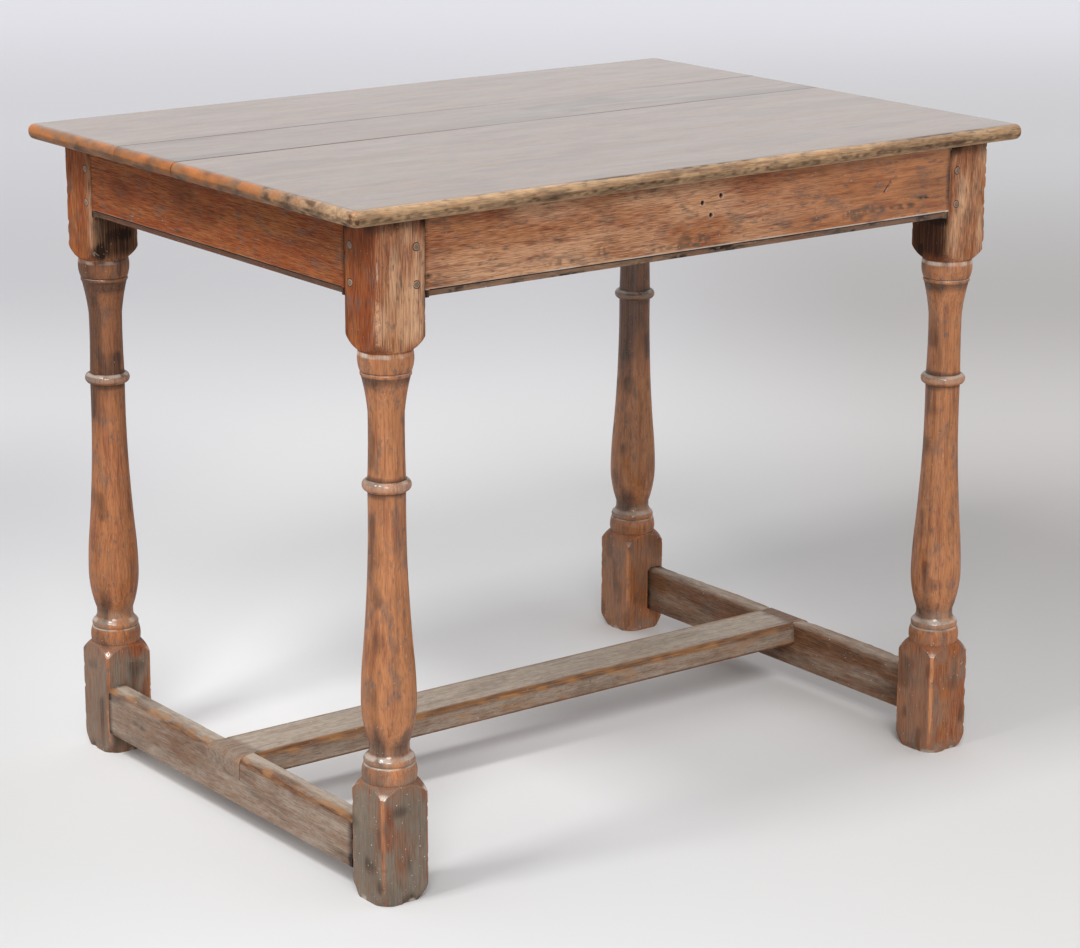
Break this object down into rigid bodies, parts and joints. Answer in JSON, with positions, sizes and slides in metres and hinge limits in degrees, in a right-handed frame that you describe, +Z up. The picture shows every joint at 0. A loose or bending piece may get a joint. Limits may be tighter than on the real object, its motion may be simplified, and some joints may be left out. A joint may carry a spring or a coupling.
{
  "type": "refectory table",
  "caption": "Small joined oak table: board top with rounded edges, turned baluster legs, pegged rails with a scratch moulding and low H stretchers, for dining or kitchen use.",
  "frame": {"origin": "on the floor, under the centre of the top", "axes": "+X along the long side, +Y from the front rail to the back rail, +Z up"},
  "size_m": [0.885, 0.647, 0.72],
  "materials": {
    "oak_top": "waxed, worn satin",
    "oak_frame": "waxed, worn satin",
    "oak_stretcher": "dry, dusty and foot worn",
    "oak_peg": "waxed end grain",
    "screw_steel": "dull, oxidised"
  },
  "bodies": {
    "root": {"top_board_front": "oak_top", "top_board_middle": "oak_top", "top_board_back": "oak_top", "leg_front_left": "oak_frame", "leg_front_right": "oak_frame", "leg_back_left": "oak_frame", "leg_back_right": "oak_frame", "rail_front": "oak_frame", "rail_back": "oak_frame", "rail_left": "oak_frame", "rail_right": "oak_frame", "stretcher_left": "oak_stretcher", "stretcher_right": "oak_stretcher", "stretcher_centre": "oak_stretcher", "pegs_rail_front": "oak_peg", "pegs_rail_back": "oak_peg", "pegs_rail_left": "oak_peg", "pegs_rail_right": "oak_peg", "pegs_stretcher": "oak_peg", "screws_rail_front": "screw_steel", "screws_rail_back": "screw_steel", "screws_rail_left": "screw_steel", "screws_rail_right": "screw_steel"}
  },
  "joints": []
}
